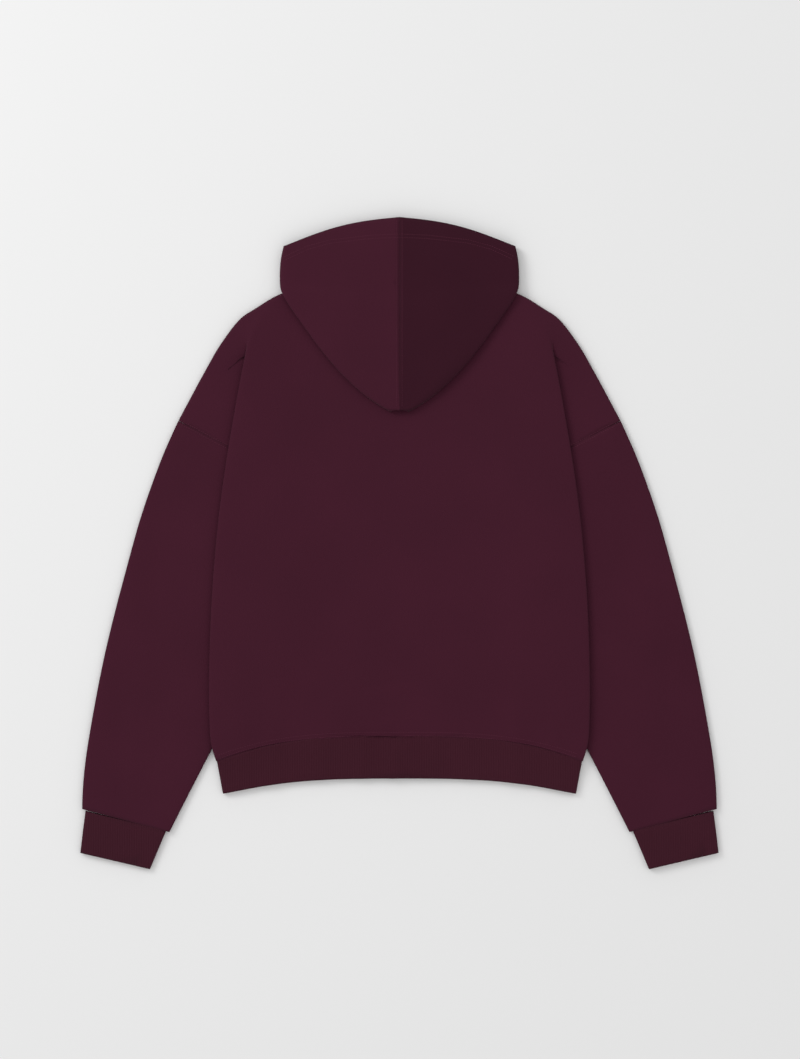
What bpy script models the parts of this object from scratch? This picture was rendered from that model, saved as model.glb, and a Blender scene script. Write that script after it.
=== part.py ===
"""Zip-up hoodie laid face down on a table, built from its cut pieces as real cloth walls.

Sizes in the tables are millimetres, and MM turns them into Blender's metres. X runs across the garment, Y runs
from the hem to the hood and Z is up, with the origin under the middle of the garment at table height. Both
sides are alike, so each table gives the +X side, and `side` is +1 or -1 for the half being made.
"""

import math

import bpy
import numpy as np

MM = 0.001

# Driving sizes
CLOTH = 2.4            # heavy brushed-back fleece
HALF = CLOTH / 2
SEAM = 0.5             # gap between two pieces at a seam
REST = HALF            # middle of a layer that lies on the table
SLEEVE_TOP = 4.6       # middle of a sleeve's upper layer where the body lies on it
TUCK_LEVEL = 8.0       # middle of the back panel's turned-under layer
EDGE_LEVEL = 11.8      # middle of the back panel at the body's side fold
BACK_LEVEL = 6.4       # middle of the back panel over the fronts
OUTLINE_LEVEL = 5.0    # middle of a layer where it rolls round the shoulder or the sleeve
LAP_LEVEL = REST + CLOTH + 0.5          # middle of the back's side edge, lapped over the front's
SHOULDER_WRAP = 7.0    # how far the back panel runs under the shoulder, to the shoulder seam
ZIP_HALF_GAP = 5.5     # half the gap between the two fronts
NECK_FRONT_Y = 257.0
NECK_RISE = 3.4        # how far the top of the zip lifts the cloth round the slider
HEM_Y, HEM_DROP = -253.0, 31.0          # hem seam at the centre, and how much lower it is at the side
RIB_END_Y, RIB_END_DROP = -308.0, 19.0
RIB_TOP_LEVEL = 5.4

# Outer edge from the neck point over the shoulder to the armhole seam
SHOULDER = [(95, 342), (125, 337), (153, 329), (178, 319), (200, 303), (216, 287), (238, 256), (264, 209), (289.5, 161)]
SLEEVE_OUTER = [(289.5, 161), (311, 115), (339, 36), (356, -27), (373, -90), (388, -153), (400, -215), (411, -278),
                (415.8, -330), (415.5, -347)]
BODY_EDGE = [(190, 311), (199, 262), (211, 200), (217, 165), (225, 118), (234, 58), (241, -8), (246, -75),
             (248.5, -140), (249.5, -206), (247.5, -262), (240, -284)]
NECK_BACK = [(0, 322), (32, 323), (62, 328), (84, 336), (95, 342)]
NECK_FRONT = [(ZIP_HALF_GAP, NECK_FRONT_Y), (45, 266), (74, 288), (88, 312), (95, 334)]
ARMPIT = (150.0, -95.0)
NOTCH = (248.0, -279.0)                 # where the sleeve's inner edge comes out from under the body
ARMHOLE = [(289.5, 161), (264, 147.5), (240, 134), (216, 122), (197, 116), (184, 105), (173, 80), (165, 40), (156, -25),
           ARMPIT]
SLEEVE_END = [(300.5, -377.5), (415.5, -350.0)]      # above the cuff seam, inner and outer
CUFF_TOP = [(305.5, -380.5), (411.5, -355.0)]
CUFF_END = [(326.5, -426.0), (418.3, -406.5)]
TUCK_INNER = [(190, 311), (189, 265), (186, 205), (184, 150), (180, 105), (172, 80), (164, 40), (155, -25), ARMPIT,
              (238, -279)]

# Rows of the back panel, shoulder to hem: y at the centre, y at the side fold, and where the row's end is sewn
BACK_ROWS = [
    # centre_y, fold_y, pleat_depth, end_x, end_y
    (322.0, 311.0, 0.0, 289.5, 161.0),
    (305.0, 292.0, 4.0, 281.0, 156.5),
    (284.0, 270.0, 9.0, 270.0, 150.7),
    (258.0, 246.0, 15.0, 258.0, 144.0),
    (230.0, 220.0, 22.0, 246.0, 137.4),
    (200.0, 193.0, 28.0, 234.0, 131.0),
    (170.0, 168.0, 33.0, 222.0, 125.0),
    (144.0, 146.0, 37.0, 210.0, 120.0),
    (122.0, 126.0, 42.0, 197.0, 115.0),
    (98.0, 103.0, 50.0, 181.0, 100.0),
    (70.0, 74.0, 60.0, 172.0, 74.0),
    (38.0, 40.0, 68.0, 165.0, 40.0),
    (5.0, 5.0, 77.0, 160.0, 5.0),
    (-28.0, -28.0, 84.0, 155.5, -28.0),
    (-62.0, -62.0, 88.0, 152.5, -62.0),
    (-96.0, -96.0, 92.0, 150.0, -96.0),
    (-130.0, -131.0, 78.0, 163.0, -131.0),
    (-164.0, -166.0, 60.0, 182.0, -166.0),
    (-198.0, -201.0, 44.0, 200.0, -201.0),
    (-226.0, -234.0, 28.0, 217.0, -234.0),
    (-242.0, -262.0, 18.0, 226.0, -262.0),
    (HEM_Y, HEM_Y - HEM_DROP, 12.0, 228.0, HEM_Y - 28.0),
]

# Rows of a hood half, from the face opening to the tip: centre seam, outer fold, and where the row is sewn on
HOOD_ROWS = [
    # seam_y, fold_x, fold_y, bend_x, bend_y, end_x, end_y, under
    (426.0, 152.0, 388.0, 70.0, 372.0, 6.2, 264.0, 1),
    (404.0, 154.5, 378.0, 66.0, 368.0, 21.0, 269.0, 1),
    (384.0, 156.0, 369.0, 72.0, 364.0, 41.0, 277.0, 1),
    (366.0, 156.6, 361.0, 82.0, 358.0, 65.0, 299.0, 1),
    (350.0, 157.0, 353.0, 88.0, 353.0, 77.0, 321.0, 1),
    (336.0, 157.0, 346.0, 110.0, 350.0, 83.0, 338.0, 1),
    (324.0, 156.8, 339.0, 118.0, 349.0, 86.0, 350.0, 0),
    (310.0, 155.5, 329.0, 110.0, 336.0, 76.0, 336.0, 0),
    (292.0, 147.0, 314.0, 96.0, 325.0, 60.0, 329.0, 0),
    (270.0, 130.0, 290.0, 82.0, 318.0, 44.0, 326.0, 0),
    (246.0, 108.0, 259.0, 66.0, 308.0, 30.0, 324.5, 0),
    (222.0, 84.0, 229.0, 46.0, 298.0, 18.0, 323.5, 0),
    (201.0, 58.0, 203.0, 28.0, 286.0, 9.0, 323.0, 0),
    (185.0, 34.0, 184.0, 14.0, 272.0, 3.6, 322.7, 0),
    (174.0, 12.0, 171.5, 4.0, 262.0, 0.4, 322.5, 0),
]

COLOURS = {
    # sRGB of the dyed cloths and the zip
    "fleece": (0.262, 0.114, 0.172),
    "rib": (0.251, 0.112, 0.158),
    "tape": (0.235, 0.105, 0.150),
    "teeth": (0.60, 0.57, 0.53),
    "slider": (0.62, 0.59, 0.55),
}


# ---------------------------------------------------------------- small helpers

def clear_scene():
    for obj in list(bpy.data.objects):
        bpy.data.objects.remove(obj, do_unlink=True)


def ease(start, end, value):
    """0 before start and 1 after end, with a smooth rise between them."""
    t = np.clip((value - start) / (end - start), 0, 1)
    return t * t * (3 - 2 * t)


def along(points, share):
    """The point this share of the way along a line of points."""
    points = np.asarray(points, float)
    steps = np.hypot(*np.diff(points, axis=0).T)
    reach = np.concatenate([[0], np.cumsum(steps)])
    return np.array([np.interp(share * reach[-1], reach, points[:, k]) for k in (0, 1)])


def x_at(points, y):
    """The x of a line of points at this y."""
    points = sorted(points, key=lambda p: p[1])
    return float(np.interp(y, [p[1] for p in points], [p[0] for p in points]))


def unit(vector):
    vector = np.asarray(vector, float)
    return vector / max(np.linalg.norm(vector), 1e-9)


def half_turn(edge, outward, high, low, count, reach=None):
    """Points round a fold, from its upper layer to its lower one, whose outer face is at `edge`."""
    radius = (high - low) / 2
    reach = radius if reach is None else reach
    outward = unit(outward)
    middle = np.asarray(edge, float) - outward * (reach + HALF)
    turns = np.linspace(0, math.pi, count)
    return [(*(middle + outward * reach * math.sin(a)), (high + low) / 2 + radius * math.cos(a)) for a in turns]


def srgb(colour):
    return [c / 12.92 if c <= 0.04045 else ((c + 0.055) / 1.055) ** 2.4 for c in colour] + [1.0]


def material(name, colour, roughness, metallic=0.0):
    made = bpy.data.materials.new(name)
    made.use_nodes = True
    shader = made.node_tree.nodes["Principled BSDF"]
    shader.inputs["Base Color"].default_value = srgb(COLOURS[colour])
    shader.inputs["Roughness"].default_value = roughness
    shader.inputs["Metallic"].default_value = metallic
    made.diffuse_color = srgb(COLOURS[colour])
    return made


def solid(name, points, faces, colour, roughness=0.9, metallic=0.0):
    mesh = bpy.data.meshes.new(name)
    mesh.from_pydata([tuple(np.asarray(p) * MM) for p in points], [], faces)
    mesh.update()
    obj = bpy.data.objects.new(name, mesh)
    bpy.context.scene.collection.objects.link(obj)
    obj.data.materials.append(material(name + "_material", colour, roughness, metallic))
    return obj


def normals_of(grid, ring):
    """The direction that each point of a sheet faces."""
    if ring:
        wide = np.concatenate([grid[:, -1:], grid, grid[:, :1]], axis=1)
        across = (wide[:, 2:] - wide[:, :-2])
    else:
        across = np.gradient(grid, axis=1)
    down = np.gradient(grid, axis=0)
    normal = np.cross(across, down)
    return normal / np.maximum(np.linalg.norm(normal, axis=2, keepdims=True), 1e-9)


def cloth(name, rows, colour, side=1, ring=False, thickness=CLOTH):
    """One closed cloth wall about the middle surface given by rows of points. A ring's rows close on themselves."""
    grid = np.asarray(rows, float)
    normal = normals_of(grid, ring)
    outer = grid + normal * thickness / 2
    inner = grid - normal * thickness / 2
    tall, wide = grid.shape[:2]
    points = np.concatenate([outer.reshape(-1, 3), inner.reshape(-1, 3)])
    points[:, 0] *= side
    base = tall * wide
    faces = []
    columns = wide if ring else wide - 1
    for i in range(tall - 1):
        for j in range(columns):
            k = (j + 1) % wide
            a, b = i * wide + j, i * wide + k
            c, d = (i + 1) * wide + k, (i + 1) * wide + j
            faces.append((a, b, c, d))
            faces.append((base + d, base + c, base + b, base + a))
    for j in range(columns):
        k = (j + 1) % wide
        faces.append((base + j, base + k, k, j))
        last = (tall - 1) * wide
        faces.append((last + j, last + k, base + last + k, base + last + j))
    if not ring:
        for i in range(tall - 1):
            a, d = i * wide, (i + 1) * wide
            faces.append((a, d, base + d, base + a))
            b, c = a + wide - 1, d + wide - 1
            faces.append((base + b, base + c, c, b))
    if side < 0:
        faces = [face[::-1] for face in faces]
    return solid(name, points, faces, colour)


# ---------------------------------------------------------------- how high each layer lies

def raised(y):
    """1 where the body lies on the sleeve, 0 at the shoulder and at the bottom of the hem."""
    return ease(318, 286, y) * ease(-318, -268, y)


def neck_rise(x, y):
    return NECK_RISE * ease(165, 232, y) * (1 - ease(18, 84, abs(x)))


def back_level(x, y):
    """Middle of the back panel's upper layer."""
    inner = x_at(TUCK_INNER, y)
    to_edge = ease(inner - 62, inner - 3, abs(x))
    edge = BACK_LEVEL + (EDGE_LEVEL - BACK_LEVEL) * raised(y)
    return BACK_LEVEL + (edge - BACK_LEVEL) * to_edge + neck_rise(x, y) + 0.8 * ease(60, 95, abs(x)) * ease(290, 335, y)


def front_level(x, y):
    return REST + 3.0 * ease(165, 232, y) * (1 - ease(8, 62, abs(x)))


# ---------------------------------------------------------------- back panel

CENTRE_COLUMNS, TURN_COLUMNS, TUCK_COLUMNS, CAP_COLUMNS = 7, 4, 2, 4


def top_line(share, kept):
    """The back panel's neckline and shoulder as far as the side fold's upper end."""
    line = NECK_BACK[:-1] + [p for p in SHOULDER if p[0] < kept[0]] + [kept]
    return along(line, share)


def back_row(index):
    centre_y, fold_y, depth, end_x, end_y = BACK_ROWS[index]
    fold = np.array([x_at(BODY_EDGE, fold_y), fold_y])
    end = np.array([end_x, end_y])
    on_sleeve = raised(fold_y)
    bend = ease(0, 14, depth)
    shown = max(np.linalg.norm(end - (fold - [depth, 0])), 0.1) if index < 9 else 0.0
    points = []
    plan_blend = min(index / 4, 1)
    for j in range(CENTRE_COLUMNS):
        share = j / CENTRE_COLUMNS
        power = 3 if index == len(BACK_ROWS) - 1 else 2
        straight = np.array([(fold[0] - 6) * share, centre_y + (fold_y - centre_y) * share ** power])
        plan = (1 - plan_blend) * top_line(share, (190, 311)) + plan_blend * straight
        points.append((*plan, back_level(*plan)))
    edge_level = max(back_level(fold[0], fold_y), RIB_TOP_LEVEL)
    tuck = REST + (TUCK_LEVEL - REST) * on_sleeve
    tuck = min(tuck, edge_level - 2 * 1.75)
    if index < 9:
        points += pleat_points(fold, end, depth, edge_level, tuck, bend)
    else:
        points += tuck_points(fold, end, edge_level, tuck, index)
    return points


def cap_level(plan):
    """Middle of the shoulder cap, which the sleeve carries on."""
    return SLEEVE_TOP + 0.4 * ease(200, 260, plan[0])


def pleat_points(fold, end, depth, high, tuck, bend):
    """From the side fold in under the body, round, and out again over the shoulder cap to its seam."""
    inner = fold - np.array([depth + 4.0, 0])
    outward = np.array([1.0, 0])
    low = cap_level(fold)
    first = half_turn(fold, outward, high, tuck, TURN_COLUMNS)
    start, stop = np.array(first[-1][:2]), inner + [3.4, 0]
    tucked = [(*(start + (stop - start) * t), tuck) for t in np.linspace(0, 1, TUCK_COLUMNS + 1)[1:]]
    second = half_turn(inner - [HALF, 0], -outward, tuck, low, TURN_COLUMNS)[1:]
    begin = np.array(second[-1][:2])
    shares = np.linspace(0, 1, CAP_COLUMNS + 1)[1:]
    cap = [(*(begin + (end - begin) * t), cap_level(begin + (end - begin) * t)) for t in shares]
    pleated = np.array(first + tucked + second + cap)
    inside = np.array([fold[0] - 14, fold[1]])
    flat_high = back_level(*inside)
    count = len(pleated)
    flat = []
    for k in range(count):
        t = (k + 1) / count
        plan = inside + (end - inside) * t if fold[1] < 310 else along(outline_after(inside), t)
        flat.append((*plan, flat_high + (cap_level(plan) - flat_high) * ease(0, 0.6, t)))
    return [tuple(p) for p in (1 - bend) * np.array(flat) + bend * pleated]


def outline_after(start):
    return [tuple(start)] + [p for p in SHOULDER if p[0] > start[0] + 4]


def tuck_points(fold, end, high, tuck, index):
    """From the side fold in under the body to the seam that is hidden there."""
    outward = np.array([1.0, 0])
    first = half_turn(fold, outward, high, tuck, TURN_COLUMNS)
    start = np.array(first[-1][:2])
    count = TUCK_COLUMNS + TURN_COLUMNS - 1 + CAP_COLUMNS
    last = max(tuck, LAP_LEVEL) if index > 15 else tuck
    shares = np.linspace(0, 1, count + 1)[1:]
    return first + [(*(start + (end - start) * t), tuck + (last - tuck) * ease(0.55, 1, t)) for t in shares]


def shoulder_wrap(top):
    """Rows that carry the back panel round the shoulder to the shoulder seam under it."""
    top = np.array(top)
    tangent = np.gradient(top[:, :2], axis=0)
    outward = np.stack([-tangent[:, 1], tangent[:, 0]], axis=1)
    outward /= np.linalg.norm(outward, axis=1, keepdims=True)
    share = ease(92, 112, top[:, 0])
    rows = []
    for angle in np.linspace(0, 1, 5):
        turn = angle * math.pi * (0.12 + 0.88 * share)
        radius = (top[:, 2] - REST) / 2
        plan = top[:, :2] + outward * (radius * np.sin(turn) - radius - HALF * share)[:, None]
        plan = plan + outward * ((1 - share) * radius)[:, None]
        height = top[:, 2] - radius * (1 - np.cos(turn))
        rows.append(np.column_stack([plan, height]))
    extra = rows[-1].copy()
    extra[:, :2] -= outward * ((SHOULDER_WRAP - 3.0) * share - 0.4 * (1 - share))[:, None]
    return [extra] + rows[::-1]


def back_half():
    rows = [back_row(i) for i in range(len(BACK_ROWS))]
    return [list(map(tuple, r)) for r in shoulder_wrap(rows[0])] + rows[1:]


def mirrored(row):
    """A whole row from its +X half, whose first point is on the centre line."""
    row = [tuple(p) for p in row]
    return [(-x, y, z) for x, y, z in row[:0:-1]] + row


def back_panel():
    rows = [mirrored(row) for row in back_half()]
    return cloth("back_panel", rows, "fleece")


# ---------------------------------------------------------------- front panels

FRONT_COLUMNS = 8


def inset(points, amount):
    """A line of points moved to its right-hand side, which is inwards on this garment."""
    points = np.asarray(points, float)
    tangent = np.gradient(points, axis=0)
    inward = np.stack([tangent[:, 1], -tangent[:, 0]], axis=1)
    return points + amount * inward / np.linalg.norm(inward, axis=1, keepdims=True)


def side_seam(y):
    """Outer edge of the front panel below the armpit."""
    return np.interp(y, [HEM_Y - 28, ARMPIT[1]], [233.0, ARMPIT[0] - 1.5])


def front_edges():
    """Outer ends of the front's rows: down the armhole, then down the side."""
    armhole = inset(ARMHOLE, 3.0)
    upper = [along(armhole, t) for t in np.linspace(0.04, 0.985, 8)]
    lower = [np.array([side_seam(y), y]) for y in np.linspace(-112, HEM_Y - 27.5, 6)]
    return upper + lower


def front_rows():
    ends = front_edges()
    seam = inset(SHOULDER, 2 * SHOULDER_WRAP)
    top = [p for p in NECK_FRONT[:-1]] + [tuple(p) for p in seam if p[1] > ends[0][1] + 8 and p[0] > 91]
    top = top + [tuple(ends[0])]
    rows = []
    for i, end in enumerate(ends):
        start_y = NECK_FRONT_Y + (HEM_Y + SEAM - NECK_FRONT_Y) * i / (len(ends) - 1)
        blend = min(i / 5, 1)
        row = []
        for t in np.linspace(0, 1, FRONT_COLUMNS):
            power = 3 if i == len(ends) - 1 else 1
            x = ZIP_HALF_GAP + (end[0] - ZIP_HALF_GAP) * t
            straight = np.array([x, start_y + (end[1] - start_y) * t ** power])
            curved = along(top, t) + (end - np.array(top[-1])) * t
            plan = (1 - blend) * curved + blend * straight
            row.append((*plan, front_level(*plan)))
        rows.append(row)
    return rows


# ---------------------------------------------------------------- sleeves and cuffs

RING_COLUMNS, RING_TURN = 6, 3
SLEEVE_ROWS = [0.0, 0.05, 0.11, 0.18, 0.26, 0.35, 0.44, 0.53, 0.62, 0.71, 0.80, 0.88, 0.95, 1.0]


def ring(line, inner_level, outer_level):
    """A flattened tube's ring about a line of plan points from its inner to its outer edge."""
    line = np.asarray(line, float)
    out = unit(line[-1] - line[-2])
    back = unit(line[0] - line[1])
    upper_outer = half_turn(line[-1], out, outer_level, REST, RING_TURN + 1)
    upper_inner = half_turn(line[0], back, inner_level, REST, RING_TURN + 1)[::-1]
    first, last = np.array(upper_inner[-1][:2]), np.array(upper_outer[0][:2])
    shares = np.linspace(0, 1, RING_COLUMNS + 2)[1:-1]
    middle = []
    for t in shares:
        base = along(line, t)
        straight = line[0] + (line[-1] - line[0]) * t
        shift = base - straight
        middle.append(first + (last - first) * t + shift)
    levels = inner_level + (outer_level - inner_level) * shares
    top = [(*p, z) for p, z in zip(middle, levels)]
    low = [(*p, REST) for p in middle[::-1]]
    return upper_inner + top + upper_outer + low


def sleeve_line(share):
    """A line across the sleeve, from its inner fold to its outer one, this far along it."""
    start = inset(ARMHOLE, -SEAM / 2)[::-1]
    outer = along(SLEEVE_OUTER, 0.006 + 0.994 * share)
    inner = np.array(ARMPIT) + (np.array(SLEEVE_END[0]) - ARMPIT) * share
    inner = inner + [2.5 * math.sin(math.pi * share), 0]
    fade = (1 - share) ** 3
    line = []
    for t in np.linspace(0, 1, RING_COLUMNS + 2):
        curved = along(start, t) - (start[0] + (start[-1] - start[0]) * t)
        line.append(inner + (outer - inner) * t + curved * fade)
    return line


def sleeve(name, side):
    rows = []
    for share in SLEEVE_ROWS:
        line = sleeve_line(share)
        clear = ease(0.72, 0.9, share)
        rows.append(ring(line, SLEEVE_TOP + 0.8 * clear, OUTLINE_LEVEL + 0.6 * clear))
    return cloth(name, rows, "fleece", side, ring=True)


def cuff(name, side):
    rows = []
    for share in np.linspace(0, 1, 5):
        ends = [np.array(a) + (np.array(b) - a) * share for a, b in zip(CUFF_TOP, CUFF_END)]
        line = [ends[0] + (ends[1] - ends[0]) * t for t in np.linspace(0, 1, RING_COLUMNS + 2)]
        rows.append(ring(line, 5.4, 5.4))
    return cloth(name, rows, "rib", side, ring=True, thickness=2.6)


# ---------------------------------------------------------------- hem rib

def rib_half():
    rows = []
    for share in np.linspace(0, 1, 5):
        centre = HEM_Y - SEAM + (RIB_END_Y - HEM_Y + SEAM) * share
        drop = HEM_DROP + (RIB_END_DROP - HEM_DROP) * share
        edge = 239.6 + (231.5 - 239.6) * share
        lifted = raised(centre - drop) * (1 - share)
        high = RIB_TOP_LEVEL + 1.0 * (1 - share) + (EDGE_LEVEL - BACK_LEVEL) * lifted
        row = []
        for t in np.linspace(0, 1, 7)[:-1]:
            x = (edge - 6) * t
            row.append((x, centre - drop * t ** 3, BACK_LEVEL - share + (high - BACK_LEVEL + share) * ease(0.5, 1, t)))
        low = REST + (high - REST - 4.0) * 0.6 * lifted
        turn = half_turn((edge, centre - drop), (1, 0), high, low, 5)
        row += turn
        for t in np.linspace(0, 1, 7)[1:]:
            x = turn[-1][0] + (ZIP_HALF_GAP - turn[-1][0]) * t
            row.append((x, centre - drop * (x / edge) ** 3, REST + (low - REST) * (1 - ease(0, 0.12, t))))
        rows.append(row)
    return rows


def hem_rib():
    rows = [mirrored(row) for row in rib_half()]
    return cloth("hem_rib", rows, "rib")


# ---------------------------------------------------------------- hood

HOOD_TOP_COLUMNS, HOOD_TURN, HOOD_LOW_COLUMNS = 7, 4, 6


def on_body(x, y):
    """1 over the body, 0 past the shoulder line and in the neck hole."""
    line = SHOULDER if abs(x) > 95 else NECK_BACK
    edge = np.interp(abs(x), [p[0] for p in line], [p[1] for p in line])
    return float(1 - ease(edge + 1.5, edge + 13, y))


def hood_low(x, y):
    """Middle of the hood's under layer where it lies on the back."""
    over = back_level(x, y) + CLOTH + 0.9
    return REST + (over - REST) * on_body(x, y)


def hood_top(x, y, edge_level):
    puff = 3.5 * ease(168, 230, y) * (1 - ease(40, 150, abs(x)))
    opening = ease(426, 372, y)
    ridge = 1.6 * (1 - ease(0, 26, abs(x)))
    return edge_level + puff * (0.35 + 0.65 * opening) + ridge * ease(168, 200, y) - 3.0 * (1 - opening)


def hood_rows():
    rows = []
    for seam_y, fold_x, fold_y, bend_x, bend_y, end_x, end_y, under in HOOD_ROWS:
        fold = np.array([fold_x, fold_y])
        start = np.array([SEAM / 2, seam_y])
        out = unit(fold - start) if fold_y > 330 else unit([1.0, -0.85])
        inside = fold - out * 4
        low = REST if under else hood_low(*inside)
        edge_level = max(low + 4.2, 12.5 if fold_y > 330 else low + 4.4)
        turn = half_turn(fold, out, edge_level, low, HOOD_TURN, reach=min(2.1, (edge_level - low) / 2))
        last = np.array(turn[0][:2])
        row = []
        for t in np.linspace(0, 1, HOOD_TOP_COLUMNS)[:-1]:
            plan = start + (last - start) * t
            bulge = 8.0 * math.sin(math.pi * t) * ease(330, 420, seam_y)
            plan = plan + [0, bulge]
            row.append((*plan, max(hood_top(*plan, edge_level), edge_level - 3)))
        row += turn
        begin, bend, end = np.array(turn[-1][:2]), np.array([bend_x, bend_y]), np.array([end_x, end_y])
        for t in np.linspace(0, 1, HOOD_LOW_COLUMNS + 1)[1:]:
            plan = begin * (1 - t) ** 2 + 2 * bend * t * (1 - t) + end * t * t
            level = REST + (low - REST) * (1 - ease(0, 0.4, t)) if under else hood_low(*plan)
            row.append((*plan, level))
        rows.append(row)
    return rows


# ---------------------------------------------------------------- zip

TAPE_THICK, TAPE_INNER, TAPE_OUTER = 0.8, 1.9, 14.0
CHAIN_HALF, CHAIN_THICK = 2.6, 2.2
ZIP_TOP_Y, ZIP_END_Y = NECK_FRONT_Y - 1.5, RIB_END_Y + 6


def tape_level(x, y):
    return front_level(max(abs(x), ZIP_HALF_GAP), y) + HALF + TAPE_THICK / 2 + 0.35


def block(name, corners, colour, roughness, metallic):
    """A closed run of rectangles: each row is (x0, x1, y, z0, z1)."""
    points, faces = [], []
    for x0, x1, y, z0, z1 in corners:
        points += [(x0, y, z0), (x1, y, z0), (x1, y, z1), (x0, y, z1)]
    for i in range(len(corners) - 1):
        a, b = 4 * i, 4 * i + 4
        for k in range(4):
            n = (k + 1) % 4
            faces.append((a + k, a + n, b + n, b + k))
    faces.append((3, 2, 1, 0))
    end = 4 * (len(corners) - 1)
    faces.append((end, end + 1, end + 2, end + 3))
    if corners[-1][2] > corners[0][2]:
        faces = [face[::-1] for face in faces]
    return solid(name, points, faces, colour, roughness, metallic)


def zip_rows():
    return np.linspace(ZIP_TOP_Y, ZIP_END_Y, 16)


def zip_tape(name, side):
    rows = []
    for y in zip_rows():
        level = tape_level(0, y)
        ends = sorted([side * (CHAIN_HALF + 0.3), side * TAPE_OUTER])
        rows.append((*ends, y, level - TAPE_THICK / 2, level + TAPE_THICK / 2))
    return block(name, rows, "tape", 0.85, 0.0)


def zip_chain():
    rows = []
    for y in np.linspace(ZIP_TOP_Y - 14, ZIP_END_Y + 4.5, 16):
        level = tape_level(0, y)
        rows.append((-CHAIN_HALF, CHAIN_HALF, y, level - CHAIN_THICK / 2, level + CHAIN_THICK / 2))
    return block("zip_chain", rows, "teeth", 0.35, 1.0)


def boxes(name, corners, colour, roughness, metallic):
    """One solid joined from boxes, each (x0, x1, y0, y1, z0, z1)."""
    made = []
    for i, (x0, x1, y0, y1, z0, z1) in enumerate(corners):
        points = [(x, y, z) for x in (x0, x1) for y in (y0, y1) for z in (z0, z1)]
        faces = [(0, 1, 3, 2), (4, 6, 7, 5), (0, 4, 5, 1), (2, 3, 7, 6), (0, 2, 6, 4), (1, 5, 7, 3)]
        made.append(solid(name if i == 0 else f"{name}_piece_{i}", points, faces, colour, roughness, metallic))
    for piece in made[1:]:
        piece.hide_render = True
        join = made[0].modifiers.new("join", "BOOLEAN")
        join.operation = "UNION"
        join.solver = "EXACT"
        join.object = piece
    return made[0]


def zip_slider():
    """Two plates on a post between the tapes, and the bail that holds the pull tab."""
    parts = [
        (-2.2, 2.2, 243.5, 254.0, 4.6, 7.6),
        (-4.8, 4.8, 243.0, 254.5, 6.9, 7.9),
        (-4.8, 4.8, 243.0, 254.5, 4.3, 5.35),
        (-0.8, 0.8, 245.4, 246.6, 0.6, 4.7),
        (-0.8, 0.8, 251.4, 252.6, 0.6, 4.7),
        (-0.8, 0.8, 245.6, 252.4, 0.6, 1.5),
    ]
    return boxes("zip_slider", parts, "slider", 0.35, 1.0)


def pull_tab():
    """A flat tab whose cross bar turns inside the bail."""
    parts = [
        (-3.2, 3.2, 248.3, 249.7, 2.0, 3.0),
        (-3.2, -1.3, 242.5, 249.6, 2.05, 2.95),
        (1.3, 3.2, 242.5, 249.6, 2.05, 2.95),
        (-3.4, 3.4, 218.0, 243.0, 1.95, 3.05),
    ]
    return boxes("pull_tab", parts, "slider", 0.35, 1.0)


if __name__ == "__main__":
    clear_scene()
    back_panel()
    for word, side in (("right", 1), ("left", -1)):
        cloth("front_" + word, front_rows(), "fleece", side)
        sleeve("sleeve_" + word, side)
        cuff("cuff_" + word, side)
        cloth("hood_" + word, hood_rows(), "fleece", side)
        zip_tape("zip_tape_" + word, side)
    hem_rib()
    zip_chain()
    zip_slider()
    pull_tab()
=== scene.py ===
"""The looks of a burgundy zip-up hoodie lying face down on a pale table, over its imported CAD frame."""

import math

import bmesh
import bpy
import numpy as np
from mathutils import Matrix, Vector


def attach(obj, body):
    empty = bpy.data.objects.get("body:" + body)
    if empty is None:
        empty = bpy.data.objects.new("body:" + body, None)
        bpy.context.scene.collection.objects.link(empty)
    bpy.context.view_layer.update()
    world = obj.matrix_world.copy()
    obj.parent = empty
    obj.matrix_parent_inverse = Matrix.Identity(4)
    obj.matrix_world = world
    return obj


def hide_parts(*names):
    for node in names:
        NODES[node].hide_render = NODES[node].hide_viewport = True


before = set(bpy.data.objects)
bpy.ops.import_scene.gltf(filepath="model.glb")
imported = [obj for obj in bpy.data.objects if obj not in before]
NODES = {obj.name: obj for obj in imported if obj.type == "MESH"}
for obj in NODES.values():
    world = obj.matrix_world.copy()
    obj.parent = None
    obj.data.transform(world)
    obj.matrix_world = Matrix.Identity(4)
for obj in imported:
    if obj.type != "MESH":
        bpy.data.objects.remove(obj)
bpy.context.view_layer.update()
MM = 0.001

# Flat size of each cloth piece: width, length and area, in metres. The area is the built wall's volume
# over its thickness, and the width and length were chosen to hold it
CUTS = {
    "back_panel": (0.70, 0.64, 0.36),
    "front_left": (0.29, 0.60, 0.104),
    "front_right": (0.29, 0.60, 0.104),
    "sleeve_left": (0.45, 0.54, 0.175),
    "sleeve_right": (0.45, 0.54, 0.175),
    "hood_left": (0.28, 0.36, 0.048),
    "hood_right": (0.28, 0.36, 0.048),
    "cuff_left": (0.20, 0.053, 0.0101),
    "cuff_right": (0.20, 0.053, 0.0101),
    "hem_rib": (0.95, 0.055, 0.0485),
}
# Soft folds that rise from the hem: x, how far up they reach, half width, height, in millimetres
GATHERS = [
    (-202, -90, 16, 0.8),
    (-166, -205, 8, 1.6),
    (-101, -197, 9, 1.1),
    (-48, -126, 9, 1.7),
    (-5, -107, 10, 2.0),
    (23, -190, 8, 0.8),
    (45, -200, 8, 1.0),
    (88, -210, 8, 0.9),
    (153, -146, 12, 2.3),
    (206, -218, 8, 1.2),
]
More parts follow.
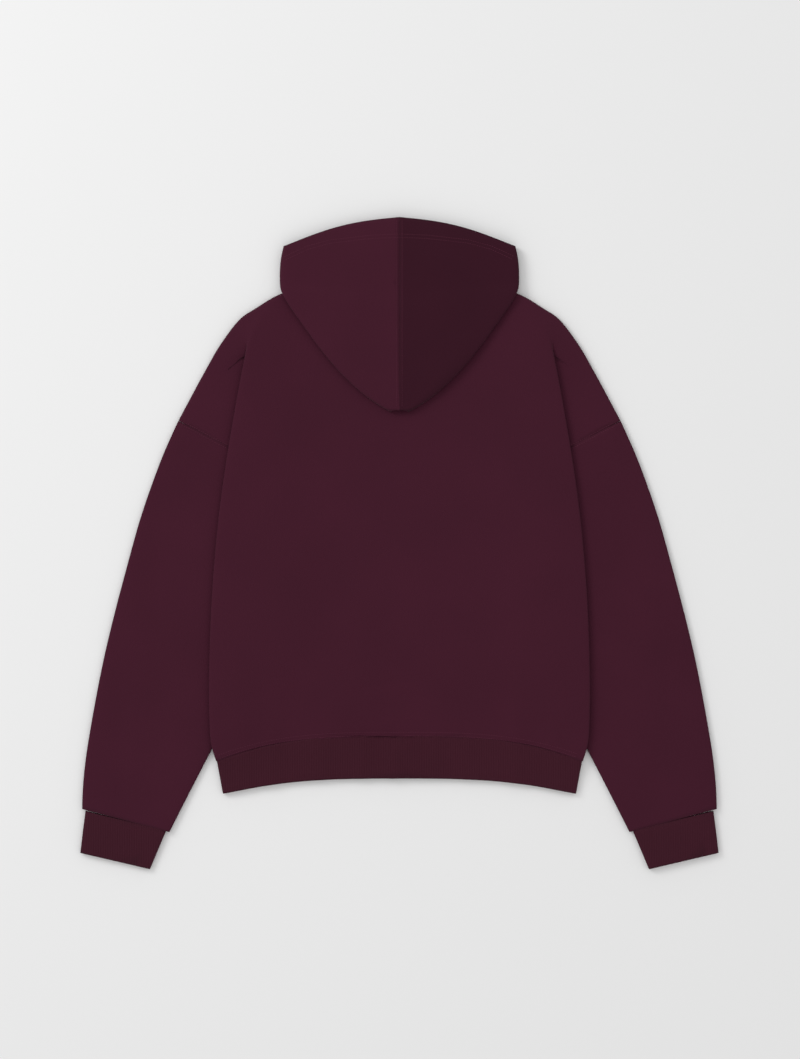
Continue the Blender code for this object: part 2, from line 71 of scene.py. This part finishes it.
# Broad soft troughs on the back and sleeves: x, y, half width, half length, depth
TROUGHS = [
    (134, -90, 22, 60, 1.3),
    (-26, 75, 30, 60, 1.1),
    (-190, -130, 26, 120, 1.4),
    (300, 20, 14, 90, 1.2),
    (350, -180, 12, 90, 1.3),
    (-320, -40, 14, 100, 1.3),
    (-365, -230, 12, 90, 1.2),
    (60, 110, 34, 40, 0.9),
]
CREASED_ABOVE = 3.2    # layers lower than this lie flat, in millimetres


def linear(colour):
    return tuple(c / 12.92 if c <= 0.04045 else ((c + 0.055) / 1.055) ** 2.4 for c in colour) + (1.0,)


def fold_height(x, y):
    """How far the cloth's soft creases move it up, in millimetres."""
    height = 0.0
    for fx, reach, width, tall in GATHERS:
        near = min(max((reach + 60 - y) / (60 + reach + 262), 0), 1)
        height += tall * near ** 1.5 * math.exp(-((x - fx - 0.03 * (y + 257)) / width) ** 2)
    for tx, ty, width, length, depth in TROUGHS:
        height -= depth * math.exp(-((x - tx) / width) ** 2 - ((y - ty) / length) ** 2)
    return height + 0.35 * math.sin(x / 31 + y / 47) * math.sin(y / 39 - x / 53)


def cloth_material(name, colour, ribbed=False):
    mat = bpy.data.materials.new(name)
    mat.use_nodes = True
    tree = mat.node_tree
    shader = tree.nodes["Principled BSDF"]
    shader.inputs["Roughness"].default_value = 0.95
    shader.inputs["Specular IOR Level"].default_value = 0.06
    shader.inputs["Sheen Weight"].default_value = 0.04
    place = tree.nodes.new("ShaderNodeTexCoord")
    patch = tree.nodes.new("ShaderNodeTexNoise")
    patch.inputs["Scale"].default_value = 9
    fleck = tree.nodes.new("ShaderNodeTexNoise")
    fleck.inputs["Scale"].default_value = 900
    mix = tree.nodes.new("ShaderNodeMix")
    mix.data_type = "RGBA"
    mix.inputs[6].default_value = linear([c * 0.90 for c in colour])
    mix.inputs[7].default_value = linear([c * 1.10 for c in colour])
    average = tree.nodes.new("ShaderNodeMath")
    average.operation = "MULTIPLY_ADD"
    average.inputs[1].default_value = 0.5
    tree.links.new(place.outputs["Object"], patch.inputs["Vector"])
    tree.links.new(place.outputs["Object"], fleck.inputs["Vector"])
    tree.links.new(patch.outputs[0], average.inputs[0])
    half = tree.nodes.new("ShaderNodeMath")
    half.operation = "MULTIPLY"
    half.inputs[1].default_value = 0.5
    tree.links.new(fleck.outputs[0], half.inputs[0])
    tree.links.new(half.outputs[0], average.inputs[2])
    tree.links.new(average.outputs[0], mix.inputs[0])
    tree.links.new(mix.outputs[2], shader.inputs["Base Color"])
    bump = tree.nodes.new("ShaderNodeBump")
    bump.inputs["Distance"].default_value = 0.0006 if ribbed else 0.0003
    bump.inputs["Strength"].default_value = 0.8
    if ribbed:
        wave = tree.nodes.new("ShaderNodeTexWave")
        wave.inputs["Scale"].default_value = 140
        tree.links.new(place.outputs["Object"], wave.inputs["Vector"])
        tree.links.new(wave.outputs["Fac"], bump.inputs["Height"])
    else:
        tree.links.new(fleck.outputs[0], bump.inputs["Height"])
    tree.links.new(bump.outputs[0], shader.inputs["Normal"])
    return mat


def metal_material():
    mat = bpy.data.materials.new("aged_metal")
    mat.use_nodes = True
    tree = mat.node_tree
    shader = tree.nodes["Principled BSDF"]
    shader.inputs["Metallic"].default_value = 1.0
    shader.inputs["Base Color"].default_value = linear((0.60, 0.57, 0.53))
    noise = tree.nodes.new("ShaderNodeTexNoise")
    noise.inputs["Scale"].default_value = 400
    spread = tree.nodes.new("ShaderNodeMapRange")
    spread.inputs["To Min"].default_value = 0.25
    spread.inputs["To Max"].default_value = 0.5
    tree.links.new(noise.outputs[0], spread.inputs["Value"])
    tree.links.new(spread.outputs[0], shader.inputs["Roughness"])
    return mat


FLEECE = cloth_material("fleece", (0.258, 0.104, 0.163))
HOOD_PAINTED_SHADE = cloth_material("fleece_right_hood_painted_shade", (0.214, 0.084, 0.134))  # painted shade: a darker copy of the fleece stands in for the shade that falls on the hood's right half
RIB = cloth_material("rib", (0.250, 0.106, 0.153), ribbed=True)
TAPE = cloth_material("tape", (0.235, 0.105, 0.150), ribbed=True)
THREAD = cloth_material("thread", (0.36, 0.17, 0.24))
METAL = metal_material()


def seam_shift(name, x, y):
    """How far a piece's edge is drawn in so that its seam closes, in millimetres."""
    side = 1 if x > 0 else -1
    if name.startswith("cuff"):
        return -0.4 * side, 5.0 * min(max((y + 426) / 50, 0), 1)
    if name.startswith("sleeve"):
        near = min(max((y - 60) / 60, 0), 1)
        return -1.2 * side * near, 2.6 * near
    if name == "hem_rib":
        return 0.0, 2.2 * min(max((y + 325) / 50, 0), 1)
    if name.startswith("hood"):
        return -0.5 * side * max(1 - abs(x) / 20, 0), 0.0
    return 0.0, 0.0


def fine_shell(name, mat):
    """A smooth copy of a cloth node, with its creases."""
    mesh = NODES[name].data.copy()
    grid = bmesh.new()
    grid.from_mesh(mesh)
    bmesh.ops.remove_doubles(grid, verts=grid.verts, dist=2e-5)
    bmesh.ops.join_triangles(grid, faces=grid.faces, angle_face_threshold=0.9, angle_shape_threshold=3.0)
    crease = grid.edges.layers.float.new("crease_edge")
    for edge in grid.edges:
        if len(edge.link_faces) == 2 and edge.calc_face_angle(0) > 0.95:
            edge[crease] = 1.0
    grid.to_mesh(mesh)
    grid.free()
    obj = bpy.data.objects.new(name + "_cloth", mesh)
    bpy.context.scene.collection.objects.link(obj)
    smooth = obj.modifiers.new("smooth", "SUBSURF")
    smooth.levels = smooth.render_levels = 2
    graph = bpy.context.evaluated_depsgraph_get()
    fine = bpy.data.meshes.new_from_object(obj.evaluated_get(graph))
    obj.modifiers.clear()
    obj.data = fine
    for vertex in fine.vertices:
        x, y, z = (c / MM for c in vertex.co)
        if z > CREASED_ABOVE and not name.startswith("hood"):
            vertex.co.z += fold_height(x, y) * min((z - CREASED_ABOVE) / 2, 1) * MM
        shift_x, shift_y = seam_shift(name, x, y)
        vertex.co.x += shift_x * MM
        vertex.co.y += shift_y * MM
    fine.materials.clear()
    fine.materials.append(mat)
    fine.shade_smooth()
    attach(obj, "hoodie")
    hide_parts(name)
    return obj


for piece in CUTS:
    ribbed = piece.startswith("cuff") or piece == "hem_rib"
    # the right hood half takes the darker fleece, which is painted shade
    mat = RIB if ribbed else HOOD_PAINTED_SHADE if piece == "hood_right" else FLEECE
    fine_shell(piece, mat)

# Seam lines as (x, y) points in millimetres. Each has two rows of stitches, apart from the pair beside
# the hood's centre seam, which are one row each
HOOD_TOPSTITCH = 3.5
TWIN_NEEDLE_HALF = 2.2
STITCH_PITCH = 3.2
STITCH_HALF = 1.1
# Corners of a stitch: along it, across it and up, in millimetres
STITCH_CORNERS = ((-1.2, 0, 0), (1.2, 0, 0), (0, 0.35, 0), (0, -0.35, 0), (0, 0, 0.35), (0, 0, -0.3))
HEM_LINE = [(x, -253 - 31 * (abs(x) / 240) ** 3 + 4) for x in range(-236, 237, 6)]
ARMHOLE_LINE = [(287, 159), (264, 147), (240, 134), (222, 125)]
HOOD_HEM = [
    (-150, 372), (-120, 386), (-90, 394), (-37, 400), (0, 401.5),
    (37, 400), (90, 394), (120, 386), (150, 372),
]
SEAMS = [
    HEM_LINE,
    ARMHOLE_LINE,
    [(-x, y) for x, y in ARMHOLE_LINE],
    HOOD_HEM,
    [(-HOOD_TOPSTITCH, 422), (-HOOD_TOPSTITCH, 178)],
    [(HOOD_TOPSTITCH, 422), (HOOD_TOPSTITCH, 178)],
]


def stitches():
    """Small threads laid along the seams, on whatever cloth is under them."""
    bpy.context.view_layer.update()
    graph = bpy.context.evaluated_depsgraph_get()
    points, faces = [], []
    for line in SEAMS:
        line = np.array(line, float)
        reach = np.concatenate([[0], np.cumsum(np.hypot(*np.diff(line, axis=0).T))])
        offsets = (0,) if abs(line[0, 0]) == HOOD_TOPSTITCH else (-TWIN_NEEDLE_HALF, TWIN_NEEDLE_HALF)
        for offset in offsets:
            for s in np.arange(1.5, reach[-1] - 1.5, STITCH_PITCH):
                ends = [
                    np.array([np.interp(s + d, reach, line[:, k]) for k in (0, 1)])
                    for d in (-STITCH_HALF, STITCH_HALF)
                ]
                way = (ends[1] - ends[0]) / np.linalg.norm(ends[1] - ends[0])
                aside = np.array([-way[1], way[0]])
                mid = (ends[0] + ends[1]) / 2 + aside * offset
                start = Vector((mid[0] * MM, mid[1] * MM, 0.2))
                hit, spot = bpy.context.scene.ray_cast(graph, start, Vector((0, 0, -1)))[:2]
                if not hit:
                    continue
                z = spot.z / MM
                base = len(points)
                for along, over, up in STITCH_CORNERS:
                    plan = mid + way * along + aside * over
                    points.append((plan[0] * MM, plan[1] * MM, (z + up) * MM))
                for a, b in ((0, 2), (2, 1), (1, 3), (3, 0)):
                    faces += [(base + b, base + a, base + 4), (base + a, base + b, base + 5)]
    mesh = bpy.data.meshes.new("stitches")
    mesh.from_pydata(points, [], faces)
    mesh.materials.append(THREAD)
    obj = bpy.data.objects.new("stitches", mesh)
    bpy.context.scene.collection.objects.link(obj)
    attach(obj, "hoodie")
    return obj


thread = stitches()


def repaint(name, mat):
    NODES[name].data.materials.clear()
    NODES[name].data.materials.append(mat)


for node in ("zip_tape_left", "zip_tape_right"):
    repaint(node, TAPE)
for node in ("zip_chain", "zip_slider", "pull_tab"):
    repaint(node, METAL)


def floor():
    bpy.ops.mesh.primitive_plane_add(size=8, location=(0, 0, -0.0003))
    plane = bpy.context.object
    mat = bpy.data.materials.new("pale_floor")
    mat.use_nodes = True
    mat.node_tree.nodes["Principled BSDF"].inputs["Base Color"].default_value = (0.88, 0.88, 0.88, 1)
    mat.node_tree.nodes["Principled BSDF"].inputs["Roughness"].default_value = 1.0
    mat.node_tree.nodes["Principled BSDF"].inputs["Specular IOR Level"].default_value = 0.0
    plane.data.materials.append(mat)


def studio():
    light = bpy.data.lights.new("key", "AREA")
    light.size = 1.6
    light.energy = 60
    key = bpy.data.objects.new("key", light)
    key.location = (-3.0, 2.1, 2.3)
    key.rotation_euler = (Vector((0, 0, 0)) - key.location).to_track_quat("-Z", "Y").to_euler()
    bpy.context.scene.collection.objects.link(key)
    world = bpy.data.worlds.new("studio")
    world.use_nodes = True
    world.node_tree.nodes["Background"].inputs["Color"].default_value = (1, 1, 1, 1)
    world.node_tree.nodes["Background"].inputs["Strength"].default_value = 0.76
    bpy.context.scene.world = world
    bpy.context.scene.view_settings.view_transform = "Standard"


def camera():
    lens = bpy.data.cameras.new("camera")
    lens.lens = 85
    lens.sensor_width = 36
    eye = bpy.data.objects.new("camera", lens)
    eye.location = (0.0007, 0.0183, 3.276)
    bpy.context.scene.collection.objects.link(eye)
    bpy.context.scene.camera = eye


floor()
studio()
camera()
